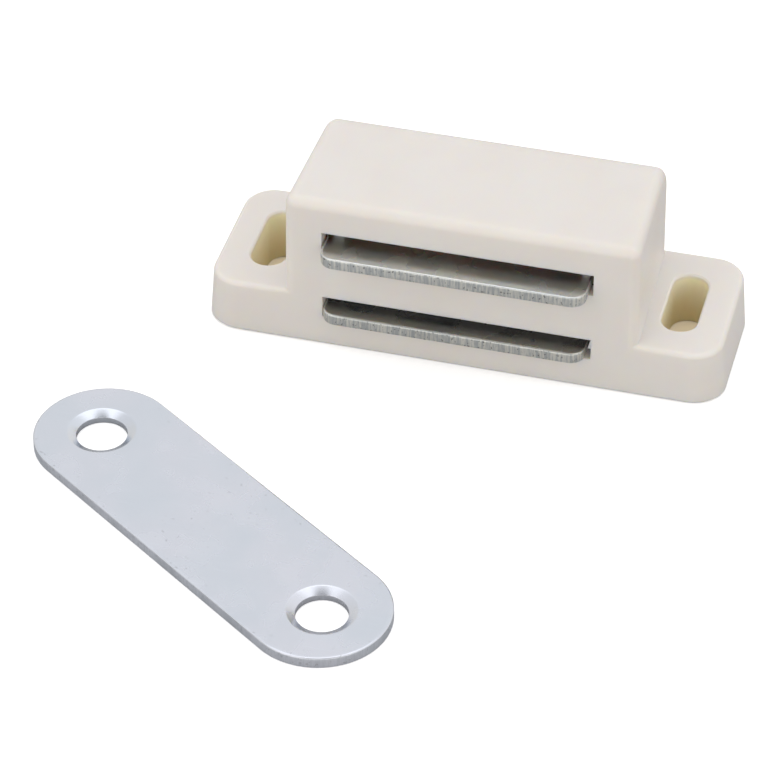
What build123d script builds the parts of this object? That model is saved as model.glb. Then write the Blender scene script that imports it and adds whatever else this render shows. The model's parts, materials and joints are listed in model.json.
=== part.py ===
"""Surface-mounted magnetic catch with its strike plate.

Frame: X runs along the housing, the pole face looks along -Y, +Z is up.
z = 0 is the mounting face, and the origin is its centre, midway between the two ears.
All lengths are in millimetres, all angles in degrees.
"""
from build123d import *
import math
import os

# Housing, outside
ear_span = 46.0              # over the rounded ends of both ears
body_depth = 14.6            # pole face to back, the same for block and ears
ear_height = 5.3             # mounting face to the top of an ear
ear_corner_radius = 2.8      # upright corners of the ears
ear_edge_radius = 0.45       # rim of the ear tops
block_length = 31.0          # raised block, at the mounting face
block_height = 15.4          # mounting face to the roof
block_draft = 1.1            # lean of each end of the block
block_edge_radius = 0.95     # front, end and upright edges of the block
block_back_radius = 2.9      # long edge between the roof and the back
foot_chamfer = 0.2           # round the mounting face

# Screw slots through the ears
screw_slot_spacing = 37.2    # centre to centre along X
screw_slot_width = 3.2
screw_slot_length = 8.2      # over its round ends, along Y
screw_slot_chamfer = 0.15

# Pole plates: a wide body behind the front wall and a tongue through its slot
plate_thickness = 1.0
plate_body_length = 25.5
plate_body_depth = 8.2
plate_tongue_length = 23.5
plate_corner_radius = 1.3    # front corners of the tongue
plate_edge_radius = 0.12     # rolled edges left by the press
plate_travel = 1.8           # from the back ribs to the shoulder stop
plate_reach = 2.3            # tongue standing out of the front wall at the shoulder stop
upper_plate_setback = 0.2    # how far the upper plate rests short of its stop
lower_plate_setback = 1.3    # how far the lower plate rests short of its stop

# Magnet block between the plates
magnet_end_setback = 0.05    # short of the plate body at each end
magnet_depth = 10.0
magnet_thickness = 5.9
magnet_chamfer = 0.3

# Pocket for the magnet and the plates, open to the mounting face
front_wall = 1.5
back_wall = 1.5
roof_thickness = 1.5
pocket_end_clearance = 0.3   # plate body to each end wall
stack_height = 3.15          # mounting face to the underside of the lower plate
face_clearance = 0.03        # between each plate and the magnet, the sill and the roof ribs
stop_clearance = 0.05        # left at each end of a plate's travel
slot_end_clearance = 0.3     # tongue to each end of its slot
slot_headroom = 1.1          # above the tongue, so that a plate tips in from below
back_rib_count = 4
back_rib_width = 1.2
roof_rib_width = 1.0
roof_rib_inset = 1.95        # pocket end to the middle of a roof rib
nib_length = 4.0             # snap nibs under the lower plate, two at each end
nib_reach = 0.65
nib_height = 1.1
nib_spacing = 6.4            # between the two nibs of one end

# Strike plate, flat on the same surface beside the catch
strike_length = 41.1
strike_width = 12.2
strike_thickness = 1.0
strike_hole_spacing = 29.7
strike_hole_diameter = 4.4
strike_dish_diameter = 5.9
strike_dish_depth = 0.42
strike_lip_radius = 0.3      # rounded mouth of each pressed countersink
strike_rim_radius = 0.22     # rolled upper rim of the blank
strike_centre_x = -14.9
strike_centre_y = -33.3
strike_turn = -35.0          # about Z

# Sizes and heights that follow from the stack
magnet_length = plate_body_length - 2 * magnet_end_setback
lower_plate_z = stack_height
magnet_z = lower_plate_z + plate_thickness + face_clearance
upper_plate_z = magnet_z + magnet_thickness + face_clearance
stack_top = upper_plate_z + plate_thickness
slot_height = plate_thickness + face_clearance + slot_headroom

# Pocket outline
front_face_y = -body_depth / 2
pocket_front_y = front_face_y + front_wall
pocket_back_y = body_depth / 2 - back_wall
pocket_depth = pocket_back_y - pocket_front_y
pocket_length = plate_body_length + 2 * pocket_end_clearance
pocket_height = block_height - roof_thickness
rib_front_y = pocket_front_y + plate_body_depth + plate_travel + 2 * stop_clearance
back_rib_depth = pocket_back_y - rib_front_y


def slab(length, depth, height, x=0.0, y=0.0, z=0.0):
    """Box centred on (x, y) with its underside at z."""
    return Pos(x, y, z) * Box(length, depth, height, align=(Align.CENTER, Align.CENTER, Align.MIN))


def in_block_window(edge):
    """True for an edge of the block that is rounded: all but those of its foot."""
    return edge.center().Z > foot_chamfer


def make_ear_plate():
    """Low plate under the whole housing whose ends are the two ears."""
    outline = RectangleRounded(ear_span, body_depth, ear_corner_radius)
    plate = extrude(outline, ear_height)
    plate = fillet(plate.edges().group_by(Axis.Z)[-1], ear_edge_radius)
    return chamfer(plate.edges().group_by(Axis.Z)[0], foot_chamfer)


def make_block():
    """Raised block: drafted ends, a generous back edge and a small radius elsewhere."""
    end_lean = block_height * math.tan(math.radians(block_draft))
    half_foot = block_length / 2
    half_roof = half_foot - end_lean
    face = Polygon(
        (-half_foot, 0),
        (half_foot, 0),
        (half_roof, block_height),
        (-half_roof, block_height),
        align=None,
    )
    block = extrude(Plane.XZ * face, body_depth / 2, both=True)
    roof_edges = block.edges().group_by(Axis.Z)[-1]
    block = fillet(roof_edges.filter_by(Axis.X).sort_by(Axis.Y)[-1], block_back_radius)
    block = fillet(block.edges().filter_by(in_block_window), block_edge_radius)
    return chamfer(block.edges().group_by(Axis.Z)[0], foot_chamfer)


def screw_slots():
    """Two slots along Y through the ears, with a broken edge at each face."""
    outline = Rot(0, 0, 90) * SlotOverall(screw_slot_length, screw_slot_width)
    bore = extrude(outline, ear_height)
    wide = Rot(0, 0, 90) * SlotOverall(
        screw_slot_length + 2 * screw_slot_chamfer, screw_slot_width + 2 * screw_slot_chamfer
    )
    flare = extrude(wide, screw_slot_chamfer, taper=45)
    slot = bore + flare + Pos(0, 0, ear_height) * Rot(180, 0, 0) * flare
    return [Pos(side * screw_slot_spacing / 2, 0, 0) * slot for side in (-1, 1)]


def pole_slots():
    """Two slots through the front wall, one for each tongue."""
    length = plate_tongue_length + 2 * slot_end_clearance
    middle_y = front_face_y + front_wall / 2
    return [
        slab(length, 2 * front_wall, slot_height, y=middle_y, z=level - face_clearance)
        for level in (lower_plate_z, upper_plate_z)
    ]


def pocket_ribs():
    """Ribs left standing in the pocket: on the back wall and under the roof."""
    ribs = []
    pitch = pocket_length / back_rib_count
    for index in range(back_rib_count):
        x = (index - (back_rib_count - 1) / 2) * pitch
        ribs.append(slab(back_rib_width, back_rib_depth, pocket_height, x, rib_front_y + back_rib_depth / 2))
    roof_rib_z = stack_top + face_clearance
    for side in (-1, 1):
        x = side * (pocket_length / 2 - roof_rib_inset)
        middle_y = (pocket_front_y + pocket_back_y) / 2
        ribs.append(slab(roof_rib_width, pocket_depth, pocket_height - roof_rib_z, x, middle_y, roof_rib_z))
    return ribs


def snap_nibs():
    """Wedges on the end walls that hold the lower plate up once it has snapped past."""
    top_z = stack_height - face_clearance
    wedge = Polygon((0, 0), (0, -nib_height), (-nib_reach, -nib_height / 4), (-nib_reach, 0), align=None)
    nib = extrude(Plane.XZ * wedge, nib_length / 2, both=True)
    nibs = []
    for turn in (0, 180):
        for offset in (-nib_spacing / 2, nib_spacing / 2):
            middle_y = (pocket_front_y + rib_front_y) / 2
            placed = Pos(pocket_length / 2, 0, top_z) * nib
            nibs.append(Pos(0, middle_y + offset, 0) * Rot(0, 0, turn) * placed)
    return nibs


def make_housing():
    """One moulding: ears and block outside, pocket, ribs, nibs and slots inside."""
    body = make_ear_plate() + make_block()
    middle_y = (pocket_front_y + pocket_back_y) / 2
    pocket = slab(pocket_length, pocket_depth, pocket_height, y=middle_y)
    pocket -= pocket_ribs()
    pocket -= snap_nibs()
    body -= pocket
    body -= screw_slots()
    body -= pole_slots()
    return body


def make_pole_plate(setback, level):
    """T-shaped plate: body behind the front wall, tongue with two round corners."""
    shoulder_y = pocket_front_y + stop_clearance + setback
    tip_y = shoulder_y - front_wall - stop_clearance - plate_reach
    body = Pos(0, shoulder_y + plate_body_depth / 2) * Rectangle(plate_body_length, plate_body_depth)
    tongue_depth = shoulder_y - tip_y
    tongue = Pos(0, tip_y + tongue_depth / 2) * Rectangle(plate_tongue_length, tongue_depth)
    outline = body + tongue
    corners = outline.vertices().group_by(Axis.Y)[0]
    outline = fillet(corners, plate_corner_radius)
    plate = extrude(outline, plate_thickness)
    rims = plate.edges().group_by(Axis.Z)
    plate = fillet(rims[0] + rims[-1], plate_edge_radius)
    return Pos(0, 0, level) * plate


def make_magnet():
    """Pressed ferrite block with broken edges, against the web between the slots."""
    block = Box(magnet_length, magnet_depth, magnet_thickness)
    block = chamfer(block.edges(), magnet_chamfer)
    middle_y = pocket_front_y + stop_clearance + magnet_depth / 2
    return Pos(0, middle_y, magnet_z + magnet_thickness / 2) * block


def make_strike_plate():
    """Round-ended steel strip with two pressed countersinks, lying face up."""
    plate = extrude(SlotOverall(strike_length, strike_width), strike_thickness)
    plate = fillet(plate.edges().group_by(Axis.Z)[-1], strike_rim_radius)
    hole_radius = strike_hole_diameter / 2
    dish_radius = strike_dish_diameter / 2
    land_z = strike_thickness - strike_dish_depth
    section = Polygon(
        (0, 0),
        (hole_radius, 0),
        (hole_radius, land_z),
        (dish_radius, strike_thickness),
        (0, strike_thickness),
        align=None,
    )
    cutter = revolve(Plane.XZ * section, Axis.Z)
    for side in (-1, 1):
        plate -= Pos(side * strike_hole_spacing / 2, 0, 0) * cutter
    mouths = plate.edges().filter_by(GeomType.CIRCLE).group_by(Axis.Z)[-1]
    mouths = mouths.filter_by(lambda edge: abs(edge.radius - dish_radius) < strike_lip_radius / 2)
    plate = fillet(mouths, strike_lip_radius)
    return Pos(strike_centre_x, strike_centre_y, 0) * Rot(0, 0, strike_turn) * plate


parts = {
    "housing": make_housing(),
    "magnet": make_magnet(),
    "upper_pole_plate": make_pole_plate(upper_plate_setback, upper_plate_z),
    "lower_pole_plate": make_pole_plate(lower_plate_setback, lower_plate_z),
    "strike_plate": make_strike_plate(),
}

os.makedirs("parts", exist_ok=True)
for name, solid in parts.items():
    export_step(solid, f"parts/{name}.step")
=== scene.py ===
"""Looks of a surface-mounted magnetic catch and its strike plate.

Everything is in metres, in the frame of the packed model: X runs along the housing, its pole
face looks along -Y, and +Z is up from the mounting face.
"""

import functools
import json
import math

import bmesh
import bpy
import numpy as np
from bpy.props import FloatProperty, FloatVectorProperty, IntProperty, PointerProperty
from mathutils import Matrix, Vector


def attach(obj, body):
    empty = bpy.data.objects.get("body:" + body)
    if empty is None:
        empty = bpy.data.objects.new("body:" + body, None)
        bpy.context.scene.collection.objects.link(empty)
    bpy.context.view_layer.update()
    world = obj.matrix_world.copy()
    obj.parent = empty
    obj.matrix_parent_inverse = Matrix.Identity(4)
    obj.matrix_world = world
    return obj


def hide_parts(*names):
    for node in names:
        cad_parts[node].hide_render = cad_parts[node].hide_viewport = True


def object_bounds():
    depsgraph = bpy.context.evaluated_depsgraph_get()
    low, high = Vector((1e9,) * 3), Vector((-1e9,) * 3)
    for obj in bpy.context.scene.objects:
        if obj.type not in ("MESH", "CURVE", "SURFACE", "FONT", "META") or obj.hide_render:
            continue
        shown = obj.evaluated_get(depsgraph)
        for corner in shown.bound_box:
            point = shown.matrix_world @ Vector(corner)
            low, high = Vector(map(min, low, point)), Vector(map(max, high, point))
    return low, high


bl_info = {
    "name": "Magnetic catch finish",
    "version": (1, 0, 0),
    "blender": (4, 5, 0),
    "location": "View3D > Sidebar > Catch",
    "description": "Surfaces, finishes and studio for a surface-mounted magnetic catch",
    "category": "Object",
}

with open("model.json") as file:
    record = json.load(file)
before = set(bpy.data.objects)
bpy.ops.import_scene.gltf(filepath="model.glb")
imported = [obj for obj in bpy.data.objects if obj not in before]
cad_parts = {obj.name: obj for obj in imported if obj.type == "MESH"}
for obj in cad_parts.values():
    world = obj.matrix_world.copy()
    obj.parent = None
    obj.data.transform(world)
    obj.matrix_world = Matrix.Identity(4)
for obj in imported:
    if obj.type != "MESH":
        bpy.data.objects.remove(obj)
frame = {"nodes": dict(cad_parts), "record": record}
cad_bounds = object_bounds()

MM = 0.001
TOUCH = 0.002 * MM           # points closer than this are one point
MARGIN = 1.0 * MM            # kept from an outline when looking for what lies inside it
SHADE_BLUR = 0.3 * MM        # over which the shade under a screw slot fades out
ROOF_NEAR = 0.1 * MM         # below the roof, where its marks are in full
ROOF_FAR = 0.5 * MM          # below the roof, where they have faded out
RIM_NEAR = 0.1 * MM          # below an ear top, where the tint of a slot wall begins
RIM_FAR = 0.6 * MM           # below an ear top, where it is in full
CEILING_SPAN = (0.78, 0.93)  # upward part of a direction over which the ceiling light comes in
FRONT_SPAN = (-0.3, -0.8)    # part along Y over which the front light comes in
GAP_SPAN = (0.84, 0.95)      # nearness to the middle of the dark gap over which the light goes
FLECK_LEVEL = 0.63           # noise above this shows as a fleck on a sheared edge
PIT_LEVEL = 0.68             # noise above this shows as a pit beside the rim
PIT_GROWTH = 1.7             # size of the pits next to that of the flecks
MOUNTS = {mount["name"]: mount for mount in frame["record"]["mounts"]}


# ---------------------------------------------------------------- measuring the solids

def node_points(name):
    """Vertices of a CAD node as an array of points."""
    mesh = frame["nodes"][name].data
    points = np.empty(len(mesh.vertices) * 3)
    mesh.vertices.foreach_get("co", points)
    return points.reshape(-1, 3)


def measure_housing():
    """Outer half sizes and levels of the housing, and the place and half sizes of its screw slots."""
    x, y, z = node_points("housing").T
    out, deep = np.abs(x), np.abs(y)
    half_span, half_depth, roof = out.max(), deep.max(), z.max()
    ear_top = z[out > half_span - MARGIN].max()
    half_block = out[z > (ear_top + roof) / 2].max()
    in_slot = (out > half_block + MARGIN) & (out < half_span - MARGIN) & (deep < half_depth - 2 * MARGIN)
    return {
        "half_span": half_span,
        "half_depth": half_depth,
        "roof": roof,
        "ear_top": ear_top,
        "half_block": half_block,
        "slot_near": out[in_slot].min(),
        "slot_far": out[in_slot].max(),
        "slot_half_length": deep[in_slot].max(),
    }


def measure_pole_plate(name):
    """Half lengths of the body and tongue of a T-shaped plate, and the levels that bound them."""
    x, y, z = node_points(name).T
    half_body = x.max()
    shoulder = y[x > half_body - TOUCH].min()
    half_tongue = x[y < (shoulder + y.min()) / 2].max()
    return {
        "half_body": half_body,
        "half_tongue": half_tongue,
        "tip": y.min(),
        "shoulder": shoulder,
        "back": y.max(),
        "floor": z.min(),
        "thickness": z.max() - z.min(),
    }


def measure_strike_plate():
    """Centre, turn, outline and hole sizes of the strike plate.

    The turn is the direction across which the plate is narrowest: the extent across every
    candidate direction is worked out at once, and the smallest one is the width.
    """
    points = node_points("strike_plate")
    flat = points[:, :2]
    centre = (flat.min(0) + flat.max(0)) / 2
    turns = np.radians(np.linspace(-90, 90, 3601))
    widths = np.ptp((flat - centre) @ np.array([-np.sin(turns), np.cos(turns)]), axis=0)
    turn = turns[widths.argmin()]
    length_way = np.array([math.cos(turn), math.sin(turn)])
    hole_offset = MOUNTS["strike_holes"]["dims"]["pcd_mm"] * MM / 2
    reach = np.linalg.norm(flat - centre - hole_offset * length_way, axis=1)
    thickness = points[:, 2].max()
    hole_radius = reach.min()
    return {
        "centre": centre,
        "turn": turn,
        "length": np.ptp((flat - centre) @ length_way),
        "width": widths.min(),
        "thickness": thickness,
        "hole_offset": hole_offset,
        "hole_radius": hole_radius,
        "dish_radius": reach[points[:, 2] > thickness - TOUCH].min(),
        "land": points[reach < hole_radius + TOUCH, 2].max(),
    }


# ---------------------------------------------------------------- surfaces

def wave(run, length, seed, lowest=3, count=14):
    """Uneven closed wave along a path, between about -1 and 1.

    A sum of cosines with whole numbers of periods over the path's length, so that it closes,
    each weaker than the one before and with its own seeded phase.
    """
    draw = np.random.default_rng(seed)
    periods = lowest + np.cumsum(draw.integers(1, 5, count))
    phases = draw.uniform(0, 2 * np.pi, count)
    weights = 1 / np.sqrt(np.arange(1, count + 1))
    angles = 2 * np.pi * np.outer(run / length, periods) + phases
    return np.cos(angles) @ weights / weights.sum() * 1.8


def rounded_outline(corners, radii, step):
    """Closed outline through the corners, anticlockwise, each rounded to its own radius.

    Each corner gives an arc tangent to its two sides, and each side is cut into runs of about
    one step. Returns the points, the outward normals and the run of each point along the path.
    """
    corners = np.asarray(corners, float)
    points, normals = [], []
    count = len(corners)
    for index in range(count):
        here, after = corners[index], corners[(index + 1) % count]
        before, far = corners[index - 1], corners[(index + 2) % count]
        way_in = (here - before) / np.linalg.norm(here - before)
        way_out = (after - here) / np.linalg.norm(after - here)
        way_next = (far - after) / np.linalg.norm(far - after)
        turn = math.atan2(way_in[0] * way_out[1] - way_in[1] * way_out[0], way_in @ way_out)
        turn_next = math.atan2(way_out[0] * way_next[1] - way_out[1] * way_next[0], way_out @ way_next)
        radius = radii[index]
        cut = radius * math.tan(abs(turn) / 2)
        cut_next = radii[(index + 1) % count] * math.tan(abs(turn_next) / 2)
        side = math.copysign(1, turn)
        left_in = np.array([-way_in[1], way_in[0]])
        centre = here - way_in * cut + side * radius * left_in
        pieces = max(4, round(radius * abs(turn) / step))
        angle = np.linspace(0, turn, pieces + 1)[:, None]
        outward = -left_in * np.cos(angle) + way_in * np.sin(angle)
        points.append(centre + side * radius * outward)
        normals.append(outward)
        start, end = here + way_out * cut, after - way_out * cut_next
        share = np.linspace(0, 1, max(2, round(np.linalg.norm(end - start) / step)) + 1)[1:-1, None]
        points.append(start + (end - start) * share)
        normals.append(np.repeat([[way_out[1], -way_out[0]]], len(share), axis=0))
    points, normals = np.concatenate(points), np.concatenate(normals)
    gaps = np.linalg.norm(np.roll(points, -1, axis=0) - points, axis=1)
    return points, normals, np.concatenate([[0], np.cumsum(gaps)])


def grid_faces(rows, columns, closed_rows=False):
    """Corners of the quads of a grid whose columns close on themselves, as an array."""
    row = np.arange(rows if closed_rows else rows - 1)[:, None]
    column = np.arange(columns)[None, :]
    above, beside = (row + 1) % rows, (column + 1) % columns
    quads = [row * columns + column, row * columns + beside, above * columns + beside, above * columns + column]
    return np.stack(np.broadcast_arrays(*quads), axis=-1).reshape(-1, 4)


def note(piece, name, values):
    """Keeps one number for each point of a piece, which its material reads by name."""
    attribute = piece.data.attributes.new(name, "FLOAT", "POINT")
    attribute.data.foreach_set("value", np.asarray(values, np.float32).ravel())


def new_piece(name, points, faces, loops=()):
    """A mesh object from an array of points, an array of quads and any larger faces."""
    mesh = bpy.data.meshes.new(name)
    mesh.from_pydata(points, [], [*faces.tolist(), *loops])
    mesh.validate()
    piece = bpy.data.objects.new(name, mesh)
    bpy.context.scene.collection.objects.link(piece)
    return piece


def shade(piece, crease=180.0):
    """Smooth shading that stays flat on large faces and breaks at edges sharper than the crease, in degrees."""
    mesh = piece.data
    mesh.polygons.foreach_set("use_smooth", np.ones(len(mesh.polygons), bool))
    if crease < 180.0:
        mesh.set_sharp_from_angle(angle=math.radians(crease))
    weighted = piece.modifiers.new("flat faces stay flat", "WEIGHTED_NORMAL")
    weighted.mode = "FACE_AREA"
    weighted.weight = 50
    weighted.keep_sharp = True
    return piece


def edge_profile(thickness, roll_width, roll_depth, foot):
    """Section of a blanked edge, from the upper face down to the lower one.

    A quarter ellipse where the press rolled the upper rim, a straight side, and a quarter
    circle at the foot. Returns the share of the roll and the plain inset, the height, and how
    far the surface is sheared metal: 0 on the faces and 1 on the side.
    """
    angle = np.linspace(0, np.pi / 2, 9)
    roll = 1 - np.sin(angle)
    roll_height = thickness - roll_depth * (1 - np.cos(angle))
    side_height = np.linspace(thickness - roll_depth, foot, 5)[1:]
    foot_angle = np.linspace(0, np.pi / 2, 5)[1:]
    foot_inset = foot * (1 - np.cos(foot_angle))
    foot_height = foot * (1 - np.sin(foot_angle))
    rolled = np.concatenate([roll * roll_width, np.zeros(len(side_height) + len(foot_angle))])
    plain = np.concatenate([np.zeros(len(roll) + len(side_height)), foot_inset])
    height = np.concatenate([roll_height, side_height, foot_height])
    sheared = np.concatenate([(1 - roll) ** 6, np.ones(len(side_height)), np.cos(foot_angle)])
    return rolled, plain, height, sheared


def pole_plate_surface(name, sizes, aside, look, seed):
    """Blanked T-shaped plate: the edge section carried round the outline, closed by two flat faces.

    The width of the rolled rim swells and fades along the outline by the uneven wave. The
    whole outline lies aside along X, against one end of its slot.
    """
    heel = look.heel_radius
    half_body, half_tongue = sizes["half_body"], sizes["half_tongue"]
    corners = [
        (-half_tongue, sizes["tip"]), (half_tongue, sizes["tip"]),
        (half_tongue, sizes["shoulder"]), (half_body, sizes["shoulder"]),
        (half_body, sizes["back"]), (-half_body, sizes["back"]),
        (-half_body, sizes["shoulder"]), (-half_tongue, sizes["shoulder"]),
    ]
    radii = [look.tongue_corner_radius] * 2 + [heel] * 6
    outline, normals, run = rounded_outline(corners, radii, look.step)
    outline = outline + [aside, 0]
    swell = 1 + look.roll_unevenness * wave(run[:-1], run[-1], seed, lowest=20, count=30)
    rolled, plain, height, sheared = edge_profile(
        sizes["thickness"], look.roll_width, look.roll_depth, look.foot_radius
    )
    inset = rolled[:, None] * swell + plain[:, None]
    flat = outline - inset[..., None] * normals
    level = np.broadcast_to((height + sizes["floor"])[:, None, None], flat.shape[:2] + (1,))
    rows, columns = flat.shape[:2]
    points = np.concatenate([flat, level], axis=-1).reshape(-1, 3)
    faces = grid_faces(rows, columns)[:, ::-1]
    upper = list(range(columns))
    lower = list(range((rows - 1) * columns, rows * columns))[::-1]
    piece = new_piece(name, points, faces, [upper, lower])
    note(piece, "sheared", np.repeat(sheared, columns))
    return shade(piece)


def strike_plate_surface(name, sizes, look, seed):
    """Round-ended plate with two pressed countersinks, made as one half and its copy turned half round.

    A half is a closed grid. Its columns run round the boundary of the half: along one side,
    round the end, back along the other side and across the middle. Its rows run from the
    foot of the hole up its wall, cone and lip, out over the face, down the rolled rim and back
    under the plate to the hole. A row near the hole is a circle, a row near the rim is the
    boundary drawn in by the edge section, and the face blends one into the other. Across the
    middle, the rows of the rim are left out, because the two halves meet there.
    """
    half_width = sizes["width"] / 2
    straight = sizes["length"] / 2 - half_width
    side = np.linspace(0, straight, round(straight / look.step), endpoint=False)
    arc = np.linspace(-np.pi / 2, np.pi / 2, round(np.pi * half_width / look.step))
    middle = np.linspace(1, -1, round(2 * half_width / look.step))[1:-1]
    level = np.full(len(side), -1.0)
    outline = np.concatenate([
        np.column_stack([side, level * half_width]),
        np.column_stack([straight + half_width * np.cos(arc), half_width * np.sin(arc)]),
        np.column_stack([side, -level * half_width])[::-1],
        np.column_stack([middle * 0, middle * half_width]),
    ])
    normals = np.concatenate([
        np.column_stack([level * 0, level]),
        np.column_stack([np.cos(arc), np.sin(arc)]),
        np.column_stack([level * 0, -level]),
        np.column_stack([middle * 0, middle]),
    ])
    gaps = np.linalg.norm(np.roll(outline, -1, axis=0) - outline, axis=1)
    run = np.cumsum(gaps)
    on_rim = len(outline) - len(middle)
    place_on_rim = np.arange(len(outline))
    fade = np.clip(np.minimum(place_on_rim, on_rim - 1 - place_on_rim) / look.swell_fade, 0, 1)
    swell = 1 + look.roll_unevenness * wave(run, run[-1], seed, lowest=12, count=30) * fade

    hole, dish, thickness, land = sizes["hole_radius"], sizes["dish_radius"], sizes["thickness"], sizes["land"]
    foot = look.foot_radius
    wall_radius = [hole + foot, hole + foot * 0.3, hole]
    wall_height = [0.0, foot * 0.3, foot]
    lip_radius = look.lip_radius
    lip_angle = math.atan2(thickness - land, dish - look.lip_share * lip_radius - hole)
    bend = np.linspace(lip_angle, 0, 9)
    lip_r = dish - lip_radius * np.sin(bend)
    lip_z = thickness - lip_radius * (1 - np.cos(bend))
    land_bend = np.linspace(np.pi / 2, lip_angle, 5)
    land_r = hole + foot * (1 - np.sin(land_bend))
    land_z = land - foot * 0.5 + foot * np.cos(land_bend)
    radius = np.concatenate([wall_radius, land_r, lip_r])
    height = np.concatenate([wall_height, land_z, lip_z])

    centre = np.array([sizes["hole_offset"], 0])
    away = outline - centre
    away /= np.linalg.norm(away, axis=1)[:, None]
    ring = centre + radius[:, None, None] * away
    rolled, plain, rim_height, sheared = edge_profile(thickness, look.roll_width, look.roll_depth, foot)
    rim = outline - (rolled[:, None] * swell + plain[:, None])[..., None] * normals
    share = np.linspace(0, 1, look.face_rows + 2)[1:-1, None, None]
    upper = ring[-1] + (rim[0] - ring[-1]) * share
    lower = rim[-1] + (ring[0] - rim[-1]) * share
    flat = np.concatenate([ring, upper, rim, lower])
    level = np.concatenate([height, np.full(len(upper), thickness), rim_height, np.zeros(len(lower))])
    rows, columns = flat.shape[:2]
    points = np.concatenate([flat, np.broadcast_to(level[:, None, None], (rows, columns, 1))], axis=-1)
    faces = grid_faces(rows, columns, closed_rows=True)
    face_row, face_column = faces[:, 0] // columns, faces[:, 0] % columns
    first_rim = len(ring) + len(upper)
    crosses = (face_row >= first_rim) & (face_row < first_rim + len(rim) - 1) & (face_column >= on_rim - 1)
    faces = faces[~crosses]
    half = points.reshape(-1, 3)
    other = half * [-1, -1, 1]
    both = np.concatenate([half, other])
    cos, sin = math.cos(sizes["turn"]), math.sin(sizes["turn"])
    both[:, :2] = both[:, :2] @ np.array([[cos, sin], [-sin, cos]]) + sizes["centre"]
    piece = new_piece(name, both, np.concatenate([faces, faces + len(half)]))
    by_row = np.zeros(rows)
    by_row[first_rim:first_rim + len(rim)] = sheared
    note(piece, "sheared", np.tile(np.repeat(by_row, columns), 2))
    nearness = [np.zeros(len(ring)), share.ravel() ** 4, np.ones(len(rim)), np.zeros(len(lower))]
    near_rim = np.concatenate(nearness)
    note(piece, "near_rim", np.tile(np.repeat(near_rim, columns), 2))
    merge_doubles(piece.data)
    return shade(piece)


def merge_doubles(mesh):
    """Joins the points of a mesh that lie on each other, and lets go of those that no face uses."""
    work = bmesh.new()
    work.from_mesh(mesh)
    bmesh.ops.remove_doubles(work, verts=work.verts, dist=TOUCH / 4)
    bmesh.ops.delete(work, geom=[vertex for vertex in work.verts if not vertex.link_faces], context="VERTS")
    work.to_mesh(mesh)
    work.free()


def merged_copy(node, name):
    """A copy of a CAD node's mesh with its loose triangles joined, for smooth shading."""
    mesh = frame["nodes"][node].data.copy()
    mesh.name = name
    mesh.materials.clear()
    attribute = mesh.attributes.get("custom_normal")
    if attribute:
        mesh.attributes.remove(attribute)
    merge_doubles(mesh)
    piece = bpy.data.objects.new(name, mesh)
    bpy.context.scene.collection.objects.link(piece)
    return piece


def settle_moulding(piece, sizes, look):
    """Draws the housing's skin to the draft and the core of its mould, by shifts along X.

    Below its top, the end of each ear leans out in proportion to depth. Each end of the block
    stands out at the pole face and fades to nothing at the back. The core, which leaves the
    pocket and the pole slots, sits a little to the left. Each shift fades over the wall
    between its faces, so that flat faces stay flat.
    """
    points = np.empty(len(piece.data.vertices) * 3)
    piece.data.vertices.foreach_get("co", points)
    x, y, z = points.reshape(-1, 3).T
    side, out = np.sign(x), np.abs(x)
    on_ear = np.clip((out - sizes["slot_far"]) / (sizes["half_span"] - sizes["slot_far"]), 0, 1)
    lean = math.tan(look.ear_lean) * (sizes["ear_top"] - z) - look.ear_inset
    inner, outer = sizes["half_block"] - look.end_wall, sizes["half_block"] - look.end_wall / 2
    over_wall = np.clip((out - inner) / (outer - inner), 0, 1)
    in_block = out < sizes["half_block"] + MARGIN
    above_ear = z > sizes["ear_top"] - MARGIN
    front_share = (sizes["half_depth"] - y) / (2 * sizes["half_depth"])
    shift = side * on_ear * lean
    shift += side * over_wall * in_block * above_ear * look.front_growth * front_share
    shift -= (1 - over_wall) * in_block * look.core_shift
    x += shift
    piece.data.vertices.foreach_set("co", points)


def note_slot_walls(piece, sizes):
    """Marks the walls of the two screw slots, where the plastic is painted with the warm light that comes
    through it.
    """
    mesh = piece.data
    count = len(mesh.polygons)
    centres, normals = np.empty(count * 3), np.empty(count * 3)
    mesh.polygons.foreach_get("center", centres)
    mesh.polygons.foreach_get("normal", normals)
    x, y, z = np.abs(centres.reshape(-1, 3)).T
    upright = np.abs(normals.reshape(-1, 3)[:, 2]) < 0.5
    across = (x > sizes["slot_near"] - TOUCH) & (x < sizes["slot_far"] + TOUCH)
    along = y < sizes["slot_half_length"] + TOUCH
    attribute = mesh.attributes.new("slot_wall", "FLOAT", "FACE")
    attribute.data.foreach_set("value", (upright & across & along).astype(np.float32))


def dress(piece, material):
    """Gives a piece its finish."""
    piece.data.materials.clear()
    piece.data.materials.append(material)
    return piece


# ---------------------------------------------------------------- node helpers

def feed(tree, node, inputs):
    """Sets a node's inputs by name or number: a socket is linked, anything else is a value."""
    for name, value in inputs.items():
        if isinstance(value, bpy.types.NodeSocket):
            tree.links.new(value, node.inputs[name])
        else:
            node.inputs[name].default_value = value
    return node


def add(tree, kind, inputs=None, **settings):
    """Adds a shader node with its settings and its inputs."""
    node = tree.nodes.new("ShaderNode" + kind)
    for name, value in settings.items():
        setattr(node, name, value)
    return feed(tree, node, inputs or {})


def place(tree, group, inputs):
    """Places a node group and gives back its first output."""
    return feed(tree, add(tree, "Group", node_tree=group), inputs).outputs[0]


def calc(tree, operation, *values):
    """One step of arithmetic on numbers or sockets."""
    return add(tree, "Math", dict(enumerate(values)), operation=operation).outputs[0]


def span(tree, value, low, high, first, second):
    """Carries a value smoothly from the span low to high over to first to second."""
    inputs = {"Value": value, "From Min": low, "From Max": high, "To Min": first, "To Max": second}
    return add(tree, "MapRange", inputs, interpolation_type="SMOOTHSTEP").outputs["Result"]


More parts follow.
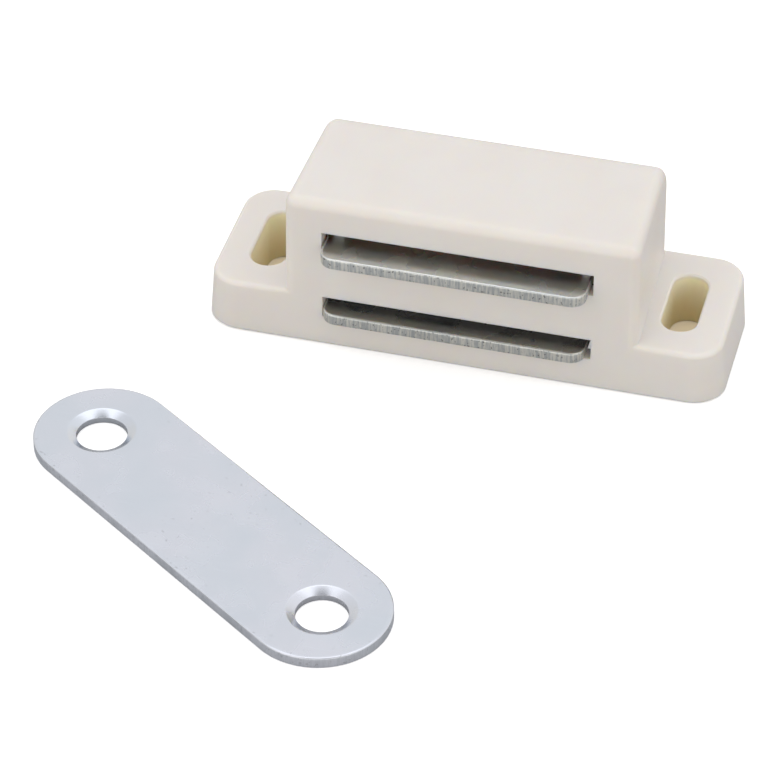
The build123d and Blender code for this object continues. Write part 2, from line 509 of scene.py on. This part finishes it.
def blend(tree, share_of_second, first, second):
    """Mix of two colours."""
    return add(tree, "Mix", {0: share_of_second, 6: first, 7: second}, data_type="RGBA").outputs[2]


def tone(colour_value, factor=1.0, warmth=0.0):
    """A colour made lighter by a factor and warmer by a share, with full alpha."""
    red, green, blue = (min(1.0, channel * factor) for channel in colour_value)
    return (min(1.0, red * (1 + warmth)), green, blue * (1 - warmth), 1.0)


def blank_material(name):
    """An empty node material and its tree."""
    material = bpy.data.materials.new(name)
    material.use_nodes = True
    material.node_tree.nodes.clear()
    return material, material.node_tree


def make_group(name, inputs, outputs):
    """An empty node group with named sockets, and its two ends."""
    group = bpy.data.node_groups.new(name, "ShaderNodeTree")
    for way, sockets in (("INPUT", inputs), ("OUTPUT", outputs)):
        for socket, kind in sockets.items():
            group.interface.new_socket(name=socket, in_out=way, socket_type="NodeSocket" + kind)
    return group, group.nodes.new("NodeGroupInput").outputs, group.nodes.new("NodeGroupOutput").inputs


# ---------------------------------------------------------------- shared effects

def grain_group():
    """Fine even grain from 0 to 1, with spots of the given size."""
    group, given, result = make_group("grain", {"Position": "Vector", "Size": "Float"}, {"Grain": "Float"})
    noise = add(group, "TexNoise", {
        "Vector": given["Position"], "Scale": calc(group, "DIVIDE", 1.0, given["Size"]),
        "Detail": 3.0, "Roughness": 0.6,
    })
    feed(group, result[0].node, {"Grain": noise.outputs[0]})
    return group


def cloud_group():
    """Slow clouds of the given size that run from 0 to 1."""
    group, given, result = make_group("clouds", {"Position": "Vector", "Size": "Float"}, {"Clouds": "Float"})
    noise = add(group, "TexNoise", {
        "Vector": given["Position"], "Scale": calc(group, "DIVIDE", 1.0, given["Size"]),
        "Detail": 2.5, "Roughness": 0.5,
    })
    feed(group, result[0].node, {"Clouds": span(group, noise.outputs[0], 0.28, 0.72, 0.0, 1.0)})
    return group


def speck_group():
    """Sparse specks: 1 inside a speck, where the grain passes the given level."""
    sockets = {"Position": "Vector", "Size": "Float", "Level": "Float"}
    group, given, result = make_group("specks", sockets, {"Specks": "Float"})
    noise = add(group, "TexNoise", {
        "Vector": given["Position"], "Scale": calc(group, "DIVIDE", 1.0, given["Size"]),
        "Detail": 1.5, "Roughness": 0.5,
    })
    above = calc(group, "ADD", given["Level"], 0.05)
    feed(group, result[0].node, {"Specks": span(group, noise.outputs[0], given["Level"], above, 0.0, 1.0)})
    return group


def edge_group():
    """Edge band: 1 where the surface turns within the given width, 0 on the flat."""
    group, given, result = make_group("sheen and chip edges", {"Width": "Float"}, {"Mask": "Float"})
    round_normal = add(group, "Bevel", {"Radius": given["Width"]}, samples=8).outputs["Normal"]
    normal = add(group, "NewGeometry").outputs["Normal"]
    turn = add(group, "VectorMath", {0: round_normal, 1: normal}, operation="DOT_PRODUCT").outputs["Value"]
    feed(group, result[0].node, {"Mask": span(group, turn, 0.99, 0.80, 0.0, 1.0)})
    return group


def rub_group():
    """Fine straight rub lines along the given turn about Z, from 0 to 1."""
    sockets = {"Position": "Vector", "Turn": "Vector", "Size": "Float"}
    group, given, result = make_group("rub lines", sockets, {"Lines": "Float"})
    turned = add(group, "Mapping", {
        "Vector": given["Position"], "Rotation": given["Turn"], "Scale": (0.03, 1.0, 1.0),
    })
    noise = add(group, "TexNoise", {
        "Vector": turned.outputs[0], "Scale": calc(group, "DIVIDE", 1.0, given["Size"]),
        "Detail": 2.0, "Roughness": 0.5,
    })
    feed(group, result[0].node, {"Lines": span(group, noise.outputs[0], 0.60, 0.72, 0.0, 1.0)})
    return group


@functools.cache
def shared_effects():
    """The node groups that several finishes use, each built once."""
    return {
        "grain": grain_group(),
        "clouds": cloud_group(),
        "specks": speck_group(),
        "edges": edge_group(),
        "rub": rub_group(),
    }


# ---------------------------------------------------------------- finishes

def sink_line(tree, position, sizes, look):
    """Faint valley on the roof where the thick rim of the moulding meets its thinner middle.

    The distance to a rectangle with round corners: the length of what reaches past its inner
    rectangle, less the corner radius. The valley is 1 on the border and 0 beyond its width.
    """
    split = add(tree, "SeparateXYZ", {"Vector": position})
    front, back = look.sink_front - sizes["half_depth"], sizes["half_depth"] - look.sink_back
    half_length = sizes["half_block"] - look.sink_ends - look.sink_radius
    half_depth = (back - front) / 2 - look.sink_radius
    middle = (front + back) / 2
    past_end = calc(tree, "SUBTRACT", calc(tree, "ABSOLUTE", split.outputs["X"]), half_length)
    from_middle = calc(tree, "ABSOLUTE", calc(tree, "SUBTRACT", split.outputs["Y"], middle))
    past_side = calc(tree, "SUBTRACT", from_middle, half_depth)
    reach = add(tree, "CombineXYZ", {
        "X": calc(tree, "MAXIMUM", past_end, 0.0), "Y": calc(tree, "MAXIMUM", past_side, 0.0),
    })
    beyond = add(tree, "VectorMath", {0: reach.outputs[0]}, operation="LENGTH").outputs["Value"]
    within = calc(tree, "MINIMUM", calc(tree, "MAXIMUM", past_end, past_side), 0.0)
    distance = calc(tree, "SUBTRACT", calc(tree, "ADD", beyond, within), look.sink_radius)
    valley = span(tree, calc(tree, "ABSOLUTE", distance), 0.0, look.sink_width, 1.0, 0.0)
    on_roof = span(tree, split.outputs["Z"], sizes["roof"] - ROOF_FAR, sizes["roof"] - ROOF_NEAR, 0.0, 1.0)
    return calc(tree, "MULTIPLY", valley, on_roof)


def moulded_plastic(look, sizes, effects):
    """Ivory plastic: cloudy and finely grained, with a painted highlight along its edges, and painted warm
    light on the walls of the screw slots that darkens towards their foot.
    """
    material, tree = blank_material("ivory moulded plastic")
    position = add(tree, "TexCoord").outputs["Object"]
    height = add(tree, "SeparateXYZ", {"Vector": position}).outputs["Z"]
    grain = place(tree, effects["grain"], {"Position": position, "Size": look.grain_size})
    clouds = place(tree, effects["clouds"], {"Position": position, "Size": look.cloud_size})
    edges = place(tree, effects["edges"], {"Width": look.sheen_and_chip_width})
    slot_wall = add(tree, "Attribute", attribute_name="slot_wall").outputs["Fac"]

    skin = blend(tree, clouds, tone(look.colour, 0.985, 0.012), tone(look.colour, 1.01))
    # painted highlight: the plastic is painted lighter along its edges
    skin = blend(tree, calc(tree, "MULTIPLY", edges, 0.45), skin, tone(look.colour, 1.12))
    # painted light: the slot walls take the warm colour of light through the plastic, with painted shade
    # deepening towards their foot
    ear_top = sizes["ear_top"]
    depth = span(tree, height, ear_top, 0.0, 0.0, 1.0)
    glow = blend(tree, depth, (*look.slot_light_colour, 1), (*look.slot_foot_light_colour, 1))
    below_rim = span(tree, height, ear_top - RIM_NEAR, ear_top - RIM_FAR, 0.0, 1.0)
    skin = blend(tree, calc(tree, "MULTIPLY", slot_wall, below_rim), skin, glow)

    valley = calc(tree, "MULTIPLY", sink_line(tree, position, sizes, look), -look.sink_depth / look.relief)
    fine = calc(tree, "MULTIPLY", grain, look.grain_depth / look.relief)
    soft_edges = add(tree, "Bevel", {"Radius": look.broken_edge}, samples=8)
    bump = add(tree, "Bump", {
        "Height": calc(tree, "ADD", valley, fine), "Distance": look.relief, "Normal": soft_edges.outputs[0],
    })
    shader = add(tree, "BsdfPrincipled", {
        "Base Color": skin, "IOR": 1.5, "Normal": bump.outputs[0],
        "Roughness": span(tree, grain, 0.3, 0.7, look.roughness - 0.05, look.roughness + 0.06),
        "Subsurface Weight": look.subsurface, "Subsurface Scale": look.subsurface_depth,
        "Subsurface Radius": (1.0, 0.75, 0.4),
    })
    add(tree, "OutputMaterial", {"Surface": shader.outputs[0]})
    return material


def zinc_plate(name, look, tints, turn, tearing, effects):
    """Bright zinc: two drifting tints, soft waves, rub lines, and sheared edges that are matt and specked.

    The tearing is the share of torn marks and specks that the sheared edges show.
    """
    material, tree = blank_material(name)
    position = add(tree, "TexCoord").outputs["Object"]
    clouds = place(tree, effects["clouds"], {"Position": position, "Size": look.cloud_size})
    haze = place(tree, effects["clouds"], {"Position": position, "Size": look.cloud_size * 0.37})
    grain = place(tree, effects["grain"], {"Position": position, "Size": look.grain_size})
    waves = place(tree, effects["grain"], {"Position": position, "Size": look.wave_size})
    lines = place(tree, effects["rub"], {"Position": position, "Turn": (0, 0, -turn), "Size": look.line_size})
    fleck_inputs = {"Position": position, "Size": look.speck_size, "Level": FLECK_LEVEL}
    flecks = place(tree, effects["specks"], fleck_inputs)
    pit_inputs = {"Position": position, "Size": look.speck_size * PIT_GROWTH, "Level": PIT_LEVEL}
    pits = place(tree, effects["specks"], pit_inputs)
    tall = add(tree, "Mapping", {"Vector": position, "Scale": (1.0, 1.0, 0.12)})
    tears = place(tree, effects["grain"], {"Position": tall.outputs[0], "Size": look.tear_size})
    sheared = add(tree, "Attribute", attribute_name="sheared").outputs["Fac"]
    near_rim = add(tree, "Attribute", attribute_name="near_rim").outputs["Fac"]

    tint = blend(tree, clouds, tone(tints[0]), tone(tints[1]))
    tint = blend(tree, calc(tree, "MULTIPLY", lines, 0.25), tint, tone(tints[0], 1.12))
    torn = blend(tree, span(tree, tears, 0.35, 0.65, 0.0, 1.0), tone(tints[0], 0.82), tone(tints[1], 1.08))
    tint = blend(tree, calc(tree, "MULTIPLY", sheared, tearing), tint, torn)
    dark_flecks = calc(tree, "MULTIPLY", flecks, sheared)
    dark_pits = calc(tree, "MULTIPLY", pits, near_rim)
    dark = calc(tree, "MAXIMUM", dark_flecks, dark_pits)
    tint = blend(tree, calc(tree, "MULTIPLY", dark, 0.7 * tearing), tint, (*look.speck_colour, 1))

    smooth = span(tree, calc(tree, "ADD", clouds, haze), 0.4, 1.6, look.roughness - 0.05, look.roughness + 0.07)
    matt = calc(tree, "MULTIPLY", sheared, look.sheared_roughness - look.roughness)
    relief = calc(tree, "ADD", calc(tree, "MULTIPLY", waves, look.wave_depth / look.relief),
                  calc(tree, "MULTIPLY", grain, look.grain_depth / look.relief))
    torn_depth = tearing * look.tear_depth / look.relief
    ripped = calc(tree, "MULTIPLY", calc(tree, "MULTIPLY", tears, sheared), torn_depth)
    bump = add(tree, "Bump", {"Height": calc(tree, "ADD", relief, ripped), "Distance": look.relief})
    shader = add(tree, "BsdfPrincipled", {
        "Base Color": tint, "Roughness": calc(tree, "ADD", smooth, matt), "Metallic": 1.0,
        "Normal": bump.outputs[0],
    })
    add(tree, "OutputMaterial", {"Surface": shader.outputs[0]})
    return material


def sintered_ferrite(look, effects):
    """Dark sintered ferrite: grainy, with chipped lighter edges."""
    material, tree = blank_material("sintered ferrite")
    position = add(tree, "TexCoord").outputs["Object"]
    grain = place(tree, effects["grain"], {"Position": position, "Size": look.grain_size})
    clouds = place(tree, effects["clouds"], {"Position": position, "Size": look.cloud_size})
    edges = place(tree, effects["edges"], {"Width": look.sheen_and_chip_width})
    body = blend(tree, clouds, tone(look.colour, 0.75), tone(look.colour, 1.25))
    body = blend(tree, calc(tree, "MULTIPLY", edges, grain), body, tone(look.colour, 3.0))
    bump = add(tree, "Bump", {"Height": grain, "Distance": look.grain_depth})
    shader = add(tree, "BsdfPrincipled", {
        "Base Color": body, "Normal": bump.outputs[0],
        "Roughness": span(tree, grain, 0.3, 0.7, look.roughness - 0.1, look.roughness + 0.1),
    })
    add(tree, "OutputMaterial", {"Surface": shader.outputs[0]})
    return material


def white_floor(look, sizes):
    """Pale floor that lights the catch a little from below and stays shaded inside the screw slots.

    Seen from underneath it lets the view through, so that the mounting face shows.
    """
    material, tree = blank_material("pale floor")
    position = add(tree, "TexCoord").outputs["Object"]
    split = add(tree, "SeparateXYZ", {"Vector": position})
    slot_middle = (sizes["slot_near"] + sizes["slot_far"]) / 2
    half_width = (sizes["slot_far"] - sizes["slot_near"]) / 2
    across = calc(tree, "SUBTRACT", calc(tree, "ABSOLUTE", split.outputs["X"]), slot_middle)
    beside = span(tree, calc(tree, "ABSOLUTE", across), half_width, half_width + SHADE_BLUR, 1.0, 0.0)
    length_way = calc(tree, "ABSOLUTE", split.outputs["Y"])
    end = sizes["slot_half_length"]
    under_slot = calc(tree, "MULTIPLY", beside, span(tree, length_way, end, end + SHADE_BLUR, 1.0, 0.0))
    seen = add(tree, "LightPath").outputs["Is Camera Ray"]
    thrown = tone(look.floor_colour, look.floor_bounce)
    open_ground = blend(tree, seen, thrown, (*look.floor_colour, 1))
    ground = blend(tree, under_slot, open_ground, (*look.slot_floor_colour, 1))
    glow = calc(tree, "ADD", look.floor_glow, calc(tree, "MULTIPLY", seen, look.floor_lift))
    shaded = calc(tree, "MULTIPLY", under_slot, look.slot_shade)
    open_floor = calc(tree, "SUBTRACT", 1.0, shaded)
    shader = add(tree, "BsdfPrincipled", {
        "Base Color": ground, "Roughness": 0.9, "Specular IOR Level": 0.1,
        "Emission Color": ground, "Emission Strength": calc(tree, "MULTIPLY", glow, open_floor),
    })
    clear = add(tree, "BsdfTransparent")
    below = add(tree, "NewGeometry").outputs["Backfacing"]
    both = add(tree, "MixShader", {0: below, 1: shader.outputs[0], 2: clear.outputs[0]})
    add(tree, "OutputMaterial", {"Surface": both.outputs[0]})
    return material


def studio_world(look, camera_way):
    """Soft studio light by direction: a bright ceiling, sides that differ, and a dark gap by the camera."""
    world = bpy.data.worlds.new("studio")
    world.use_nodes = True
    tree = world.node_tree
    tree.nodes.clear()
    way = add(tree, "TexCoord").outputs["Generated"]
    split = add(tree, "SeparateXYZ", {"Vector": way})
    sides = span(tree, split.outputs["X"], -1.0, 1.0, look.left_light, look.right_light)
    ceiling = span(tree, split.outputs["Z"], *CEILING_SPAN, 0.0, look.top_light)
    front = span(tree, split.outputs["Y"], *FRONT_SPAN, 0.0, look.front_light)
    toward = add(tree, "VectorMath", {0: way, 1: camera_way}, operation="DOT_PRODUCT").outputs["Value"]
    gap = span(tree, toward, *GAP_SPAN, 1.0, look.camera_gap)
    strength = calc(tree, "MULTIPLY", calc(tree, "ADD", calc(tree, "ADD", sides, ceiling), front), gap)
    rise = span(tree, split.outputs["Z"], 0.1, 0.8, 0.0, 1.0)
    tint = blend(tree, rise, (*look.low_tint, 1), (*look.top_tint, 1))
    light = add(tree, "Background", {"Color": tint, "Strength": strength})
    add(tree, "OutputWorld", {"Surface": light.outputs[0]})
    return world


# ---------------------------------------------------------------- settings

def length(name, description, millimetres):
    """A length that shows in the panel."""
    return FloatProperty(name=name, description=description, default=millimetres * MM, min=0,
                         precision=5, unit="LENGTH")


def share(name, description, default):
    """A share from 0 to 1 that shows in the panel."""
    return FloatProperty(name=name, description=description, default=default, min=0, max=1, subtype="FACTOR")


def colour(name, description, default):
    """A colour that shows in the panel."""
    return FloatVectorProperty(name=name, description=description, default=default, min=0, max=1,
                               size=3, subtype="COLOR")


def angle(name, description, degrees):
    """An angle that shows in the panel."""
    return FloatProperty(name=name, description=description, default=math.radians(degrees),
                         subtype="ANGLE", unit="ROTATION")


def light(name, description, default):
    """The brightness of a part of the studio, where 1 is white."""
    return FloatProperty(name=name, description=description, default=default, min=0)


class HousingLook(bpy.types.PropertyGroup):
    """Form and finish of the moulded housing"""
    ear_lean: angle("Ear lean", "Lean of the end of each ear, outwards going down", 4.8)
    ear_inset: length("Ear inset", "How far in the end of each ear starts at its top", 0.08)
    end_wall: length("End wall", "Wall of the block beyond the pocket at each end", 2.0)
    front_growth: length("Front growth", "How far each end of the block stands out at the pole face", 0.47)
    core_shift: length("Core shift", "How far left the mould's core left the pocket", 0.27)
    colour: colour("Plastic", "Base colour of the ivory plastic", (0.805, 0.775, 0.742))
    # painted light: colours that stand for the light through the slot walls, darker towards the foot
    slot_light_colour: colour("Slot walls", "Colour of the light that comes into a screw slot", (0.97, 0.91, 0.70))
    slot_foot_light_colour: colour("Slot foot", "Colour at the foot of a screw slot", (0.90, 0.79, 0.54))
    roughness: share("Roughness", "How matt the moulded skin is", 0.40)
    subsurface: share("Translucency", "How far the plastic lets light in", 0.6)
    subsurface_depth: length("Light depth", "Distance that light travels inside the plastic", 1.2)
    grain_size: length("Grain size", "Spots of the moulded skin", 0.25)
    grain_depth: length("Grain depth", "Relief of the moulded skin", 0.0015)
    cloud_size: length("Cloud size", "Patches where the colour drifts", 7.0)
    # painted highlight: width of the band painted lighter along each edge
    sheen_and_chip_width: length("Sheen and chip width", "Band along an edge painted lighter as a highlight", 0.22)
    broken_edge: length("Broken edge", "Rounding of the sharp edges of the moulding", 0.12)
    relief: length("Relief", "Height that the surface relief is measured in", 0.02)
    sink_ends: length("Sink from ends", "Valley on the roof, from each end of the block", 4.1)
    sink_front: length("Sink from front", "Valley on the roof, from the pole face", 0.95)
    sink_back: length("Sink from back", "Valley on the roof, from the back", 2.9)
    sink_radius: length("Sink radius", "Corner radius of the valley on the roof", 0.8)
    sink_width: length("Sink width", "Width of the valley on each side of its middle", 0.7)
    sink_depth: length("Sink depth", "Depth of the valley on the roof", 0.014)


class PlateLook(bpy.types.PropertyGroup):
    """Form and finish of the pressed steel plates"""
    step: length("Step", "Length of one mesh run along an outline", 0.12)
    roll_width: length("Roll width", "Width of the rim that the press rolled over", 0.2)
    roll_depth: length("Roll depth", "Drop of the rolled rim", 0.14)
    roll_unevenness: share("Unevenness", "How much the rolled rim swells and fades", 0.25)
    foot_radius: length("Foot radius", "Radius of the lower rim", 0.05)
    heel_radius: length("Heel radius", "Radius of the corners behind the front wall", 0.25)
    tongue_corner_radius: length("Tongue corners", "Radius of the two front corners of a tongue", 1.3)
    upper_aside: length("Upper aside", "How far left the upper pole plate lies in its slot", 0.1)
    lower_aside: length("Lower aside", "How far left the lower pole plate lies in its slot", 0.25)
    lip_radius: length("Lip radius", "Rounding of the mouth of a countersink", 0.3)
    lip_share: share("Lip share", "Part of the lip radius that the cone gives up to it", 0.5)
    swell_fade: IntProperty(name="Swell fade", description="Mesh runs over which the unevenness fades in",
                            default=20, min=1)
    face_rows: IntProperty(name="Face rows", description="Grid rows between a countersink and the rim",
                           default=10, min=2)
    grey_tint: colour("Grey zinc", "Cooler tint of the pole plates", (0.62, 0.65, 0.66))
    olive_tint: colour("Olive zinc", "Warmer tint of the pole plates", (0.70, 0.70, 0.66))
    blue_tint: colour("Blue zinc", "Cooler tint of the strike plate", (0.69, 0.735, 0.80))
    pink_tint: colour("Pink zinc", "Warmer tint of the strike plate", (0.73, 0.75, 0.815))
    speck_colour: colour("Specks", "Colour of the bare specks", (0.10, 0.10, 0.10))
    roughness: share("Roughness", "How matt the plating is", 0.24)
    sheared_roughness: share("Sheared roughness", "How matt the sheared edges are", 0.5)
    cloud_size: length("Cloud size", "Patches where the tint drifts", 7.0)
    grain_size: length("Grain size", "Spots of the plating", 0.15)
    grain_depth: length("Grain depth", "Relief of the plating", 0.0006)
    wave_size: length("Wave size", "Waves that rolling left in the sheet", 3.5)
    wave_depth: length("Wave depth", "Height of those waves", 0.004)
    line_size: length("Line size", "Width of the rub lines", 0.12)
    speck_size: length("Speck size", "Specks on a sheared edge", 0.26)
    tear_size: length("Tear size", "Upright marks that the press tore in a sheared edge", 0.20)
    tear_depth: length("Tear depth", "Depth of those marks", 0.008)
    strike_tearing: share("Strike tearing", "Share of those marks that the strike plate shows", 0.3)
    relief: length("Relief", "Height that the surface relief is measured in", 0.01)


class MagnetLook(bpy.types.PropertyGroup):
    """Finish of the magnet block"""
    colour: colour("Ferrite", "Base colour of the ferrite", (0.032, 0.031, 0.033))
    roughness: share("Roughness", "How matt the ferrite is", 0.58)
    grain_size: length("Grain size", "Spots of the sintered surface", 0.3)
    grain_depth: length("Grain depth", "Relief of the sintered surface", 0.01)
    cloud_size: length("Cloud size", "Patches where the grey drifts", 4.0)
    sheen_and_chip_width: length("Sheen and chip width", "Band along an edge that has chipped lighter", 0.3)


class StageLook(bpy.types.PropertyGroup):
    """Camera, floor and light"""
    azimuth: angle("Azimuth", "Way round the catch from its pole face", 14.79)
    elevation: angle("Elevation", "Height of the view over the floor", 39.09)
    distance: length("Distance", "From the camera to the middle of the catch", 306.4)
    aim_right: length("Aim right", "How far right of the middle the camera aims", 2.21)
    aim_down: length("Aim down", "How far below the middle the camera aims", 1.13)
    lens: FloatProperty(name="Lens", description="Focal length in millimetres", default=167.45, min=1)
    floor_drop: length("Floor drop", "Gap between the mounting face and the floor", 0.03)
    floor_reach: length("Floor reach", "Half the side of the floor", 1500.0)
    floor_colour: colour("Floor", "Colour of the floor", (0.93, 0.93, 0.93))
    slot_floor_colour: colour("Slot floor", "Shaded floor inside the screw slots", (0.86, 0.76, 0.58))
    slot_shade: share("Slot shade", "Share of its own light that the floor loses inside the slots", 0.45)
    floor_bounce: share("Floor bounce", "Share of its light that the floor throws back onto the catch", 0.48)
    floor_glow: light("Floor glow", "Light that the floor gives of itself", 0.04)
    floor_lift: light("Floor lift", "Extra whiteness of the floor as the camera sees it", 0.42)
    top_light: light("Top light", "Extra brightness of the ceiling", 0.55)
    front_light: light("Front light", "Extra brightness in front of the pole face", 0.80)
    left_light: light("Left light", "Brightness of the left side", 0.84)
    right_light: light("Right light", "Brightness of the right side", 0.98)
    camera_gap: share("Camera gap", "Share of the light that is left round the camera", 0.15)
    gap_rise: angle("Gap rise", "How much higher than the camera the dark gap lies", 12.0)
    low_tint: colour("Low tint", "Tint of the light near the horizon", (1.0, 0.965, 0.915))
    top_tint: colour("Top tint", "Tint of the light from above", (0.985, 0.985, 1.0))


# ---------------------------------------------------------------- operators

class CATCH_OT_dress_housing(bpy.types.Operator):
    """Make the smooth skin of the moulded housing and give it its plastic"""
    bl_idname = "catch.dress_housing"
    bl_label = "Dress the housing"

    def execute(self, context):
        look, sizes = context.scene.catch_housing, measure_housing()
        piece = merged_copy("housing", "moulded_housing")
        settle_moulding(piece, sizes, look)
        note_slot_walls(piece, sizes)
        shade(piece, crease=40)
        dress(piece, moulded_plastic(look, sizes, shared_effects()))
        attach(piece, "catch_body")
        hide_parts("housing")
        return {"FINISHED"}


class CATCH_OT_dress_pole_plates(bpy.types.Operator):
    """Make the two pressed pole plates and give them their plating"""
    bl_idname = "catch.dress_pole_plates"
    bl_label = "Dress the pole plates"

    def execute(self, context):
        look, housing_look = context.scene.catch_plates, context.scene.catch_housing
        tints = (look.grey_tint, look.olive_tint)
        material = zinc_plate("grey zinc plating", look, tints, 0.0, 1.0, shared_effects())
        for seed, (side, play) in enumerate((("upper", look.upper_aside), ("lower", look.lower_aside))):
            node = f"{side}_pole_plate"
            aside = -(housing_look.core_shift + play)
            piece = pole_plate_surface(f"{side}_pressed_plate", measure_pole_plate(node), aside, look, seed)
            dress(piece, material)
            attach(piece, f"{side}_plate")
            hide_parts(node)
        return {"FINISHED"}


class CATCH_OT_dress_magnet(bpy.types.Operator):
    """Give the magnet block its ferrite"""
    bl_idname = "catch.dress_magnet"
    bl_label = "Dress the magnet"

    def execute(self, context):
        material = sintered_ferrite(context.scene.catch_magnet, shared_effects())
        dress(frame["nodes"]["magnet"], material)
        return {"FINISHED"}


class CATCH_OT_dress_strike_plate(bpy.types.Operator):
    """Make the pressed strike plate and give it its plating"""
    bl_idname = "catch.dress_strike_plate"
    bl_label = "Dress the strike plate"

    def execute(self, context):
        look, sizes = context.scene.catch_plates, measure_strike_plate()
        piece = strike_plate_surface("pressed_strike_plate", sizes, look, 7)
        tints = (look.blue_tint, look.pink_tint)
        tearing = look.strike_tearing
        material = zinc_plate("blue zinc plating", look, tints, sizes["turn"], tearing, shared_effects())
        dress(piece, material)
        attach(piece, "catch_body")
        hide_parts("strike_plate")
        return {"FINISHED"}


class CATCH_OT_set_stage(bpy.types.Operator):
    """Lay the pale floor, and set the soft light and the camera"""
    bl_idname = "catch.set_stage"
    bl_label = "Set the stage"

    def execute(self, context):
        look, scene = context.scene.catch_stage, context.scene
        reach, drop = look.floor_reach, -look.floor_drop
        corners = np.array([(-1, -1), (1, -1), (1, 1), (-1, 1)]) * reach
        points = np.column_stack([corners, np.full(4, drop)])
        floor = new_piece("floor", points, np.array([[0, 1, 2, 3]]))
        floor.data.materials.append(white_floor(look, measure_housing()))

        scene.world = studio_world(look, self.way_to(look.azimuth, look.elevation + look.gap_rise))
        scene.view_settings.view_transform = "Standard"

        data = bpy.data.cameras.new("camera")
        camera = bpy.data.objects.new("camera", data)
        scene.collection.objects.link(camera)
        data.lens = look.lens
        data.clip_start, data.clip_end = 0.01, 10
        back = self.way_to(look.azimuth, look.elevation)
        camera.rotation_mode = "QUATERNION"
        camera.rotation_quaternion = (-back).to_track_quat("-Z", "Y")
        right = camera.rotation_quaternion @ Vector((1, 0, 0))
        up = camera.rotation_quaternion @ Vector((0, 1, 0))
        low, high = cad_bounds
        aim = (low + high) / 2 + right * look.aim_right - up * look.aim_down
        camera.location = aim + back * look.distance
        scene.camera = camera
        return {"FINISHED"}

    @staticmethod
    def way_to(azimuth, elevation):
        """Unit vector at an azimuth from the pole face's way and an elevation over the floor."""
        flat = math.cos(elevation)
        return Vector((math.sin(azimuth) * flat, -math.cos(azimuth) * flat, math.sin(elevation)))


SETTINGS = {
    "catch_housing": HousingLook,
    "catch_plates": PlateLook,
    "catch_magnet": MagnetLook,
    "catch_stage": StageLook,
}
OPERATORS = (
    CATCH_OT_dress_housing,
    CATCH_OT_dress_pole_plates,
    CATCH_OT_dress_magnet,
    CATCH_OT_dress_strike_plate,
    CATCH_OT_set_stage,
)


class CATCH_PT_panel(bpy.types.Panel):
    """Lists the settings and the steps of the catch's finish"""
    bl_idname = "CATCH_PT_panel"
    bl_label = "Magnetic catch"
    bl_space_type = "VIEW_3D"
    bl_region_type = "UI"
    bl_category = "Catch"

    def draw(self, context):
        for operator in OPERATORS:
            self.layout.operator(operator.bl_idname)
        for settings_name, settings_class in SETTINGS.items():
            box = self.layout.box()
            box.label(text=settings_class.__doc__)
            for field in settings_class.__annotations__:
                box.prop(getattr(context.scene, settings_name), field)


def register():
    for settings_name, settings_class in SETTINGS.items():
        bpy.utils.register_class(settings_class)
        setattr(bpy.types.Scene, settings_name, PointerProperty(type=settings_class))
    for part in (*OPERATORS, CATCH_PT_panel):
        bpy.utils.register_class(part)


def unregister():
    for part in (CATCH_PT_panel, *reversed(OPERATORS)):
        bpy.utils.unregister_class(part)
    for settings_name, settings_class in SETTINGS.items():
        delattr(bpy.types.Scene, settings_name)
        bpy.utils.unregister_class(settings_class)


def main():
    register()
    bpy.ops.catch.dress_housing()
    bpy.ops.catch.dress_pole_plates()
    bpy.ops.catch.dress_magnet()
    bpy.ops.catch.dress_strike_plate()
    bpy.ops.catch.set_stage()


if __name__ == "__main__":
    main()
